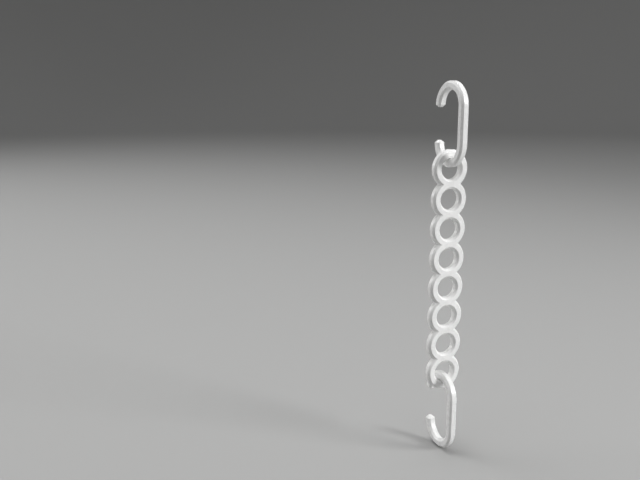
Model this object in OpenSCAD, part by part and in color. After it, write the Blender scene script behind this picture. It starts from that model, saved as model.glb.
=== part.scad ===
// Cascading hanger hook: a moulded strip of rings that hangs from a rod by two open hooks.
// The frame has its origin on the axis of the rod seat in the top hook.
// +X runs along the rod, -Y faces the person in front of it, and +Z points up.

/* [Hooks] */
// Width of the square bar that each hook is made of
bar_w = 8.4; // [7:0.1:10]
// Chamfer along the four edges of the bar
bar_chamfer = 2; // [1:0.1:3]
// Inner diameter of each curl, which is the largest rod that it takes
seat_d = 31; // [26:0.5:40]
// Distance between the centres of a hook's two curls
curl_spacing = 35; // [32:0.5:70]
// Straight bar past the end of each curl, up to the end of its tip
tip_len = 1.5; // [0.5:0.1:8]
// Chamfer round the end of each tip
tip_chamfer = 2.4; // [0.5:0.1:3]

/* [Ring strip] */
// Number of rings in the strip
ring_count = 8; // [3:1:12]
// Distance between the centres of neighbouring rings
ring_pitch = 30; // [28:0.5:34]
// Outer diameter of each ring
ring_d = 38; // [35:0.5:42]
// Diameter of the hole in each ring
hole_d = 20.8; // [17:0.1:23]
// Thickness of the strip from its front face to its back face
strip_t = 8.6; // [6:0.1:11]
// Chamfer along the outer edges of the strip
rim_chamfer = 2.1; // [0.5:0.1:2.7]
// Chamfer round each hole, on both faces
hole_chamfer = 2.1; // [0.5:0.1:2.7]

/* [Fit] */
// Gap between a ring and the curl that carries it
hang_gap = 0.25; // [0.1:0.05:0.5]

/* [Hidden] */
$fn = 96;

seat_r = seat_d / 2;
curl_r = seat_r + bar_w / 2;
ring_r = ring_d / 2;
hole_r = hole_d / 2;

// Half widths of the two flats that meet where a ring hangs on a curl
bar_flat = bar_w / 2 - bar_chamfer;
hole_flat = strip_t / 2 - hole_chamfer;

// A flat bar lies in a round hole, and a flat hole wall lies in a round curl.
// They meet at the four corners of the two flats, which sets how far a ring's
// centre lies from the centre of its curl.
hang_drop = sqrt(seat_r ^ 2 - hole_flat ^ 2) + sqrt(hole_r ^ 2 - bar_flat ^ 2) - hang_gap;

first_ring_z = -curl_spacing - hang_drop;
last_ring_z = first_ring_z - (ring_count - 1) * ring_pitch;
end_hook_z = last_ring_z - hang_drop;

// Distance from the middle of the bar to the chamfers along its edges
bar_corner = (bar_w / 2 + bar_flat) / sqrt(2);

// The tip's chamfer is this much deeper on the bar's edges than on its sides
tip_corner_extra = 0.3;

// How far a cutter runs past the faces that it cuts
cut_over = 1;

// Square section of the hook's bar, with its four chamfered edges
module bar_section() {
    half = bar_w / 2;
    polygon([
        [-half, -bar_flat],
        [-bar_flat, -half],
        [bar_flat, -half],
        [half, -bar_flat],
        [half, bar_flat],
        [bar_flat, half],
        [-bar_flat, half],
        [-half, bar_flat]
    ]);
}

// Half turn of bar round the rod, with its centre at the origin and its tip on the right
module curl() {
    difference() {
        union() {
            rotate_extrude(angle = 180)
                translate([curl_r, 0])
                    bar_section();
            translate([curl_r, 0, 0])
                rotate([90, 0, 0])
                    linear_extrude(height = tip_len)
                        bar_section();
        }
        translate([curl_r, -tip_len, 0])
            tip_cutter();
    }
}

// Cutter for the chamfers round the end of a tip, which ends at the origin
module tip_cutter() {
    four_sides_cutter(bar_w / 2, tip_chamfer);
    rotate([0, 45, 0])
        four_sides_cutter(bar_corner, tip_chamfer + tip_corner_extra);
}

// Four chamfers on faces that lie at the given distance from the bar's middle
module four_sides_cutter(face, chamfer) {
    inside = face - chamfer - cut_over;
    outside = face + cut_over;
    for (turn = [0, 90, 180, 270])
        rotate([0, turn, 0])
            linear_extrude(height = 2 * bar_w, center = true)
                polygon([
                    [inside, -cut_over],
                    [outside, -cut_over],
                    [outside, chamfer + cut_over]
                ]);
}

// One whole hook, drawn flat: the shank on the left, and both tips on the right
module flat_hook() {
    curl();
    translate([-curl_r, -curl_spacing, 0])
        rotate([-90, 0, 0])
            linear_extrude(height = curl_spacing)
                bar_section();
    translate([0, -curl_spacing, 0])
        mirror([0, 1, 0])
            curl();
}

// The hook stood up across the rod, with its shank in front and its mouth behind
module hook() {
    rotate([90, 0, 90])
        flat_hook();
}

// Disc that a ring is cut from, with both of its outer edges chamfered
module ring_disc() {
    rotate([90, 0, 0])
        rotate_extrude()
            polygon([
                [0, -strip_t / 2],
                [ring_r - rim_chamfer, -strip_t / 2],
                [ring_r, -strip_t / 2 + rim_chamfer],
                [ring_r, strip_t / 2 - rim_chamfer],
                [ring_r - rim_chamfer, strip_t / 2],
                [0, strip_t / 2]
            ]);
}

// Cutter for a round hole with a chamfer on both faces
module ring_hole() {
    mouth_r = hole_r + hole_chamfer + cut_over;
    mouth_y = strip_t / 2 + cut_over;
    rotate([90, 0, 0])
        rotate_extrude()
            polygon([
                [0, -mouth_y],
                [mouth_r, -mouth_y],
                [hole_r, -hole_flat],
                [hole_r, hole_flat],
                [mouth_r, mouth_y],
                [0, mouth_y]
            ]);
}

// Places its children at the centre of every ring
module each_ring() {
    for (i = [0 : ring_count - 1])
        translate([0, 0, first_ring_z - i * ring_pitch])
            children();
}

// Top hook, which sits on the rod
module rod_hook() {
    color("whitesmoke")
        hook();
}

// Strip of rings, moulded in one piece
module ring_strip() {
    color("whitesmoke")
        difference() {
            each_ring()
                ring_disc();
            each_ring()
                ring_hole();
        }
}

// Second hook, which dangles from the last ring until it goes over the rod as well
module end_hook() {
    color("whitesmoke")
        translate([0, 0, end_hook_z])
            hook();
}

rod_hook();
ring_strip();
end_hook();
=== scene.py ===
"""Looks of the cascading hanger hook: its rounded moulded pieces, white plastic, studio and camera."""

import math

import bmesh
import bpy
from mathutils import Matrix, Vector


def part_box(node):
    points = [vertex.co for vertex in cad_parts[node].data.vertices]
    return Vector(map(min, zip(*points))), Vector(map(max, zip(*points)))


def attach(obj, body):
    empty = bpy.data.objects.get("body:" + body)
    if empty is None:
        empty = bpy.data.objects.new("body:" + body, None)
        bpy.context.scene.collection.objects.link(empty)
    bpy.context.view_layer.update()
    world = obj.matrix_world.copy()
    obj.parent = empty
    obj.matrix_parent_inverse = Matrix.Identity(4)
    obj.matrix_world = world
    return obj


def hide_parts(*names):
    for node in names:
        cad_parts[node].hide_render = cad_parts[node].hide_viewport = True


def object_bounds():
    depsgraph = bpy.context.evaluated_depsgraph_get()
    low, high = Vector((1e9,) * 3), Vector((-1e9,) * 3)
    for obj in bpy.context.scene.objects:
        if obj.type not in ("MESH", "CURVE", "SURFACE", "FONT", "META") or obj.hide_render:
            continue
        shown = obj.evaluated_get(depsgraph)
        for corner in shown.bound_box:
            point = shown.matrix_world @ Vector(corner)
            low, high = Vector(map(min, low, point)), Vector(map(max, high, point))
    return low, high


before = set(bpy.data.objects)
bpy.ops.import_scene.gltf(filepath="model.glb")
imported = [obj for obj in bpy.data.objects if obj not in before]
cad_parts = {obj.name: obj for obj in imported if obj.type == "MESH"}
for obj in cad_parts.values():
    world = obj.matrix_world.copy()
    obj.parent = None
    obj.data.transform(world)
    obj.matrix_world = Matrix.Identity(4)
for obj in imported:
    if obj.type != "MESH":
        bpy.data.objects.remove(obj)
cad_low, cad_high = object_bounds()

MM = 0.001

# Sizes of the solids that their boxes do not give
RING_COUNT = 8
BAR_CHAMFER = 2.0 * MM
TIP_LEN = 1.5 * MM
TIP_CHAMFER = 2.4 * MM
TIP_CORNER_EXTRA = 0.3 * MM
HOLE_R = 10.4 * MM
RIM_CHAMFER = 2.1 * MM
HOLE_CHAMFER = 2.1 * MM

# Sizes of the solids, read from their boxes in the frame
HOOK_LOW, HOOK_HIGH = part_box("rod_hook")
STRIP_LOW, STRIP_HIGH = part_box("ring_strip")
END_HOOK_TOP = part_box("end_hook")[1].z
BAR_W = HOOK_HIGH.x - HOOK_LOW.x
CURL_R = (HOOK_HIGH.y - HOOK_LOW.y) / 2 - BAR_W / 2
CURL_RUN = math.pi * CURL_R
CURL_SPACING = HOOK_HIGH.z - HOOK_LOW.z - 2 * CURL_R - BAR_W
RING_R = (STRIP_HIGH.x - STRIP_LOW.x) / 2
STRIP_T = STRIP_HIGH.y - STRIP_LOW.y
RING_PITCH = (STRIP_HIGH.z - STRIP_LOW.z - 2 * RING_R) / (RING_COUNT - 1)

# Rounding that a mould leaves on the edges, and in the valleys between the rings
EDGE_ROUND = 0.35 * MM
VALLEY_ROUND = 0.7 * MM

# Fineness of the meshes
EDGE_STEPS = 4
CURL_STEPS = 64
RING_STEPS = 40
HOLE_STEPS = 96
VALLEY_STEPS = 6


# Outlines


def rounded_corner(before, corner, after, radius, steps):
    """Points of the arc that rounds a corner between two straight lines."""
    arriving = (corner - before).normalized()
    leaving = (after - corner).normalized()
    turn = arriving.angle(leaving)
    tangent = radius * math.tan(turn / 2)
    start = corner - arriving * tangent
    inward = (leaving - arriving * arriving.dot(leaving)).normalized()
    points = []
    for i in range(steps + 1):
        angle = turn * i / steps
        points.append(start + radius * (math.sin(angle) * arriving + (1 - math.cos(angle)) * inward))
    return points


def rounded_outline(corners, radius, steps):
    """Closed outline with every corner rounded."""
    points = []
    for i, corner in enumerate(corners):
        before = corners[i - 1]
        after = corners[(i + 1) % len(corners)]
        points += rounded_corner(before, corner, after, radius, steps)
    return points


def arc(centre, radius, start, stop, steps):
    """Points on an arc, from start to stop, both angles from the first axis towards the second."""
    points = []
    for i in range(steps + 1):
        angle = start + (stop - start) * i / steps
        points.append(centre + radius * Vector((math.cos(angle), math.sin(angle))))
    return points


def circle(centre, radius, steps):
    return arc(centre, radius, 0, 2 * math.pi, steps)[:-1]


def chamfer_steps(chamfer):
    """Pairs of inset and depth under the face, from the wall, over a rounded chamfer, to the face."""
    wall_point = Vector((0, 2 * chamfer))
    low = Vector((0, chamfer))
    high = Vector((chamfer, 0))
    face_point = Vector((2 * chamfer, 0))
    from_wall = rounded_corner(wall_point, low, high, EDGE_ROUND, EDGE_STEPS)
    to_face = rounded_corner(low, high, face_point, EDGE_ROUND, EDGE_STEPS)
    return from_wall + to_face


# Meshes

# Points nearer to each other than this become one
WELD = 0.001 * MM

# How strongly the larger faces set the shading at an edge, and how far areas may differ to count as equal
FACE_WEIGHT = 100
EQUAL_AREAS = 0.02


def add_loop(bm, points):
    return [bm.verts.new(point) for point in points]


def bridge(bm, first, second):
    """Quads between two closed rows of as many points each."""
    for i in range(len(first)):
        j = (i + 1) % len(first)
        bm.faces.new((first[i], first[j], second[j], second[i]))


def bridge_all(bm, rows):
    for first, second in zip(rows, rows[1:]):
        bridge(bm, first, second)


def place_mesh(bm, name):
    """Puts a built mesh in the scene as an object that is shaded smooth."""
    bmesh.ops.recalc_face_normals(bm, faces=bm.faces)
    mesh = bpy.data.meshes.new(name)
    bm.to_mesh(mesh)
    bm.free()
    mesh.shade_smooth()
    piece = bpy.data.objects.new(name, mesh)
    bpy.context.scene.collection.objects.link(piece)
    return piece


def place_moulding(bm, name):
    """Places the mesh of a moulded piece, whose flat faces look flat right up to the rounded edges."""
    bmesh.ops.remove_doubles(bm, verts=bm.verts, dist=WELD)
    piece = place_mesh(bm, name)
    weights = piece.modifiers.new("face_weights", "WEIGHTED_NORMAL")
    weights.mode = "FACE_AREA"
    weights.weight = FACE_WEIGHT
    weights.thresh = EQUAL_AREAS
    return piece


# Hooks


def bar_outline(side_inset, edge_inset):
    """Section of the bar, a square with chamfered edges, with its sides and its edges moved inwards."""
    # A chamfered edge lies where the distances from the bar's two middle planes add up to edge_sum
    edge_sum = (BAR_W - BAR_CHAMFER) - edge_inset * math.sqrt(2)
    half = BAR_W / 2 - side_inset
    flat = edge_sum - half
    corners = []
    for turn in range(4):
        spin = Matrix.Rotation(turn * math.pi / 2, 2)
        corners.append(spin @ Vector((half, -flat)))
        corners.append(spin @ Vector((half, flat)))
    return rounded_outline(corners, EDGE_ROUND, EDGE_STEPS)


def hook_frame(run):
    """Place on the middle of the bar, and direction away from the curls, at a distance along the hook."""
    lower = Vector((0, 0, -CURL_SPACING))
    if run <= TIP_LEN:
        return Vector((0, CURL_R, run - TIP_LEN)), Vector((0, 1, 0))
    run -= TIP_LEN
    if run <= CURL_RUN:
        out = Vector((0, math.cos(run / CURL_R), math.sin(run / CURL_R)))
        return out * CURL_R, out
    run -= CURL_RUN
    if run <= CURL_SPACING:
        return Vector((0, -CURL_R, -run)), Vector((0, -1, 0))
    run -= CURL_SPACING
    if run <= CURL_RUN:
        out = Vector((0, -math.cos(run / CURL_R), -math.sin(run / CURL_R)))
        return lower + out * CURL_R, out
    return lower + Vector((0, CURL_R, run - CURL_RUN)), Vector((0, 1, 0))


def hook_stations():
    """Distance along the hook and inset, each for the bar's sides and its edges, from end to end."""
    sides = chamfer_steps(TIP_CHAMFER)
    edges = chamfer_steps(TIP_CHAMFER + TIP_CORNER_EXTRA)
    tip = [(side.y, edge.y, side.x, edge.x) for side, edge in zip(sides, edges)]
    length = 2 * TIP_LEN + 2 * CURL_RUN + CURL_SPACING
    curl_start = edges[0].y
    curl_end = TIP_LEN + CURL_RUN
    upper = [curl_start + (curl_end - curl_start) * i / CURL_STEPS for i in range(1, CURL_STEPS + 1)]
    lower = [length - run for run in reversed(upper)]
    middle = [(run, run, 0, 0) for run in upper + lower]
    end = [(length - side, length - edge, inset, deep) for side, edge, inset, deep in tip]
    return tip[::-1] + middle + end


def make_hook(name, seat):
    """A chamfered square bar bent to a long C, with chamfered tips, round a rod in the given seat."""
    bm = bmesh.new()
    rows = []
    for side_run, edge_run, side_inset, edge_inset in hook_stations():
        points = []
        for i, point in enumerate(bar_outline(side_inset, edge_inset)):
            # Each corner's arc runs from a side of the bar to an edge, or back again
            corner, step = divmod(i, EDGE_STEPS + 1)
            share = step / EDGE_STEPS
            if corner % 2 == 0:
                share = 1 - share
            place, out = hook_frame(side_run + (edge_run - side_run) * share)
            points.append(seat + place + Vector((point.x, 0, 0)) + out * point.y)
        rows.append(add_loop(bm, points))
    bridge_all(bm, rows)
    bm.faces.new(rows[0])
    bm.faces.new(rows[-1])
    return place_moulding(bm, name)


# Strip of rings, with outlines drawn in X and Z


def ring_centres():
    first = STRIP_HIGH.z - RING_R
    return [Vector((0, first - i * RING_PITCH)) for i in range(RING_COUNT)]


def strip_outline(radius):
    """Outline of the fused rings at one depth, where each ring has the given radius."""
    reach = radius + VALLEY_ROUND
    valley_x = math.sqrt(reach ** 2 - (RING_PITCH / 2) ** 2)
    lift = math.asin(RING_PITCH / 2 / reach)
    last = RING_COUNT - 1
    right = []
    for i, centre in enumerate(ring_centres()):
        start = math.pi / 2 if i == 0 else lift
        stop = -math.pi / 2 if i == last else -lift
        # The first and the last ring have longer arcs
        steps = 2 * RING_STEPS if i in (0, last) else RING_STEPS
        right += arc(centre, radius, start, stop, steps)
        if i < last:
            valley = Vector((valley_x, centre.y - RING_PITCH / 2))
            right += arc(valley, VALLEY_ROUND, math.pi - lift, math.pi + lift, VALLEY_STEPS)[1:-1]
    left = [Vector((-point.x, point.y)) for point in reversed(right[1:-1])]
    return right + left


def through_levels(chamfer):
    """Pairs of inset and Y from the back face, through the wall, to the front face."""
    half = STRIP_T / 2
    steps = chamfer_steps(chamfer)
    back = [(inset, half - depth) for inset, depth in reversed(steps)]
    front = [(inset, depth - half) for inset, depth in steps]
    return back + front


def add_wall(bm, outlines):
    """Wall through the strip, from pairs of an outline and its Y, as one row of points for each pair."""
    rows = []
    for outline, y in outlines:
        rows.append(add_loop(bm, [Vector((point.x, y, point.y)) for point in outline]))
    bridge_all(bm, rows)
    return rows


def loop_edges(bm, row):
    return [bm.edges.get((vert, row[(i + 1) % len(row)])) for i, vert in enumerate(row)]


def make_strip(name):
    """Eight chamfered rings fused edge to edge, with rounded edges and valleys."""
    bm = bmesh.new()
    rim = [(strip_outline(RING_R - inset), y) for inset, y in through_levels(RIM_CHAMFER)]
    walls = [add_wall(bm, rim)]
    hole_levels = through_levels(HOLE_CHAMFER)
    for centre in ring_centres():
        hole = [(circle(centre, HOLE_R + inset, HOLE_STEPS), y) for inset, y in hole_levels]
        walls.append(add_wall(bm, hole))
    for face in (0, -1):
        edges = []
        for rows in walls:
            edges += loop_edges(bm, rows[face])
        bmesh.ops.triangle_fill(bm, use_beauty=True, edges=edges)
    return place_moulding(bm, name)


# White moulded plastic

WHITE = (0.9, 0.9, 0.893)
PLASTIC_IOR = 1.49
SKIN_GLOSS = 0.3
SKIN_ROUGHNESS = 0.1

# The noise stays between these two values nearly everywhere
NOISE_LOW = 0.3
NOISE_HIGH = 0.7

# Faint clouds in the colour, the darkest of which keep this much of it
CLOUD_SIZE = 11 * MM
CLOUD_DETAIL = 3
CLOUD_SHADE = 0.94

# Patches that are more or less glossy
PATCH_SIZE = 6 * MM
PATCH_DETAIL = 4
PATCH_UNEVENNESS = 0.6
PATCH_SMOOTHEST = 0.2
PATCH_ROUGHEST = 0.36

# Fine grain of the surface
GRAIN_SIZE = 0.35 * MM
GRAIN_DETAIL = 2
GRAIN_DEPTH = 0.02 * MM
GRAIN_STRENGTH = 0.3

# Slow ripples that bend the highlights
RIPPLE_SIZE = 4 * MM
RIPPLE_DETAIL = 1
RIPPLE_DEPTH = 0.03 * MM
RIPPLE_STRENGTH = 0.45


def moulded_plastic(name, seed):
    """White plastic with a satin skin: faint clouds, uneven gloss, slow ripples and a fine grain."""
    material = bpy.data.materials.new(name)
    material.use_nodes = True
    nodes = material.node_tree.nodes
    links = material.node_tree.links
    shader = nodes["Principled BSDF"]
    shader.inputs["IOR"].default_value = PLASTIC_IOR
    shader.inputs["Coat Weight"].default_value = SKIN_GLOSS
    shader.inputs["Coat Roughness"].default_value = SKIN_ROUGHNESS
    place = nodes.new("ShaderNodeTexCoord")
    shift = nodes.new("ShaderNodeMapping")
    shift.inputs["Location"].default_value = (seed, seed / 2, -seed)
    links.new(place.outputs["Object"], shift.inputs["Vector"])

    def noise(size, detail, unevenness=0.5):
        node = nodes.new("ShaderNodeTexNoise")
        node.inputs["Scale"].default_value = 1 / size
        node.inputs["Detail"].default_value = detail
        node.inputs["Roughness"].default_value = unevenness
        links.new(shift.outputs["Vector"], node.inputs["Vector"])
        return node.outputs["Fac"]

    def spread(factor, low, high):
        node = nodes.new("ShaderNodeMapRange")
        node.inputs["From Min"].default_value = NOISE_LOW
        node.inputs["From Max"].default_value = NOISE_HIGH
        node.inputs["To Min"].default_value = low
        node.inputs["To Max"].default_value = high
        links.new(factor, node.inputs["Value"])
        return node.outputs["Result"]

    def bump(height, strength, depth):
        node = nodes.new("ShaderNodeBump")
        node.inputs["Strength"].default_value = strength
        node.inputs["Distance"].default_value = depth
        links.new(height, node.inputs["Height"])
        return node

    clouds = nodes.new("ShaderNodeMix")
    clouds.data_type = "RGBA"
    clouds.inputs["A"].default_value = [*(CLOUD_SHADE * part for part in WHITE), 1]
    clouds.inputs["B"].default_value = [*WHITE, 1]
    links.new(spread(noise(CLOUD_SIZE, CLOUD_DETAIL), 0, 1), clouds.inputs["Factor"])
    links.new(clouds.outputs["Result"], shader.inputs["Base Color"])

    patches = noise(PATCH_SIZE, PATCH_DETAIL, PATCH_UNEVENNESS)
    links.new(spread(patches, PATCH_SMOOTHEST, PATCH_ROUGHEST), shader.inputs["Roughness"])

    grain = bump(noise(GRAIN_SIZE, GRAIN_DETAIL), GRAIN_STRENGTH, GRAIN_DEPTH)
    ripple = bump(noise(RIPPLE_SIZE, RIPPLE_DETAIL), RIPPLE_STRENGTH, RIPPLE_DEPTH)
    links.new(grain.outputs["Normal"], ripple.inputs["Normal"])
    links.new(ripple.outputs["Normal"], shader.inputs["Normal"])
    return material


# The three pieces


def dress(piece, node, material):
    """Gives a piece its material, its place on the body of the CAD node, and stands it for that node."""
    piece.data.materials.append(material)
    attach(piece, node)
    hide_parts(node)


hook_plastic = moulded_plastic("hook_plastic", seed=0.37)
strip_plastic = moulded_plastic("strip_plastic", seed=1.91)

TOP_SEAT = Vector((0, 0, 0))
END_SEAT = Vector((0, 0, END_HOOK_TOP - CURL_R - BAR_W / 2))
dress(make_hook("rod_hook_moulding", TOP_SEAT), "rod_hook", hook_plastic)
dress(make_strip("ring_strip_moulding"), "ring_strip", strip_plastic)
dress(make_hook("end_hook_moulding", END_SEAT), "end_hook", hook_plastic)


# Studio: a pale round floor that curves up into a backdrop, soft lamps and a dim even surround

FLOOR_GREY = (0.37, 0.37, 0.367)
FLOOR_ROUGHNESS = 0.9
FLOOR_SHINE = 0.2
FLOOR_GAP = 1 * MM
FLAT_R = 5.5
BEND_R = 2.5
BACKDROP_TOP = 4.0
ROUND_STEPS = 96
FLAT_STEPS = 8
BEND_STEPS = 16


def plain_surface(name, colour, roughness, shine):
    material = bpy.data.materials.new(name)
    material.use_nodes = True
    shader = material.node_tree.nodes["Principled BSDF"]
    shader.inputs["Base Color"].default_value = [*colour, 1]
    shader.inputs["Roughness"].default_value = roughness
    shader.inputs["Specular IOR Level"].default_value = shine
    return material


def floor_profile(level):
    """Pairs of radius and Z, from the middle, over the flat and the bend, to the backdrop's top."""
    profile = [(FLAT_R * i / FLAT_STEPS, level) for i in range(1, FLAT_STEPS + 1)]
    for i in range(1, BEND_STEPS + 1):
        angle = math.pi / 2 * i / BEND_STEPS
        profile.append((FLAT_R + BEND_R * math.sin(angle), level + BEND_R * (1 - math.cos(angle))))
    profile.append((FLAT_R + BEND_R, BACKDROP_TOP))
    return profile


def make_floor():
    """Round floor just under the end hook, which curves up all round into a backdrop."""
    middle = Vector((0, 0))
    bm = bmesh.new()
    rows = []
    for radius, z in floor_profile(cad_low[2] - FLOOR_GAP):
        rows.append(add_loop(bm, [Vector((*point, z)) for point in circle(middle, radius, ROUND_STEPS)]))
    bm.faces.new(rows[0])
    bridge_all(bm, rows)
    floor = place_mesh(bm, "floor")
    floor.data.materials.append(plain_surface("pale_floor", FLOOR_GREY, FLOOR_ROUGHNESS, FLOOR_SHINE))


def soft_lamp(name, place, size, power, beam=180):
    """Square area lamp that faces the middle of the part, with a beam that is so many degrees wide."""
    light = bpy.data.lights.new(name, "AREA")
    light.size = size
    light.energy = power
    light.spread = math.radians(beam)
    lamp = bpy.data.objects.new(name, light)
    lamp.location = place
    target = Vector((0, 0, (cad_low[2] + cad_high[2]) / 2))
    lamp.rotation_euler = (target - lamp.location).to_track_quat("-Z", "Y").to_euler()
    bpy.context.scene.collection.objects.link(lamp)


def make_world(strength):
    world = bpy.data.worlds.new("studio")
    world.use_nodes = True
    surround = world.node_tree.nodes["Background"]
    surround.inputs["Color"].default_value = (1, 1, 1, 1)
    surround.inputs["Strength"].default_value = strength
    bpy.context.scene.world = world


make_floor()
soft_lamp("key", place=Vector((2.45, -2.45, 1.15)), size=1.2, power=17.8, beam=70)
soft_lamp("rim", place=Vector((-2.5, 2.3, 1.4)), size=2.2, power=47)
soft_lamp("overhead", place=Vector((-0.4, 0.2, 3.3)), size=2.2, power=76)
make_world(strength=0.32)


# Camera, at the photograph's viewing angle

IMAGE_W = 640
SENSOR_W = 36.0
FOCAL_PX = 708.4
NEAREST = 10 * MM
CAMERA_PLACE = Vector((-387.8, -585.9, 18.0)) * MM
CAMERA_YAW = 23.11
CAMERA_PITCH = 12.19
CAMERA_ROLL = -0.11


def make_camera():
    data = bpy.data.cameras.new("camera")
    data.sensor_width = SENSOR_W
    data.lens = FOCAL_PX * SENSOR_W / IMAGE_W
    data.clip_start = NEAREST
    camera = bpy.data.objects.new("camera", data)
    turn = Matrix.Rotation(-math.radians(CAMERA_YAW), 4, "Z")
    tilt = Matrix.Rotation(math.radians(90 - CAMERA_PITCH), 4, "X")
    roll = Matrix.Rotation(math.radians(CAMERA_ROLL), 4, "Z")
    camera.matrix_world = Matrix.Translation(CAMERA_PLACE) @ turn @ tilt @ roll
    bpy.context.scene.collection.objects.link(camera)
    bpy.context.scene.camera = camera


make_camera()
bpy.context.scene.view_settings.view_transform = "Standard"
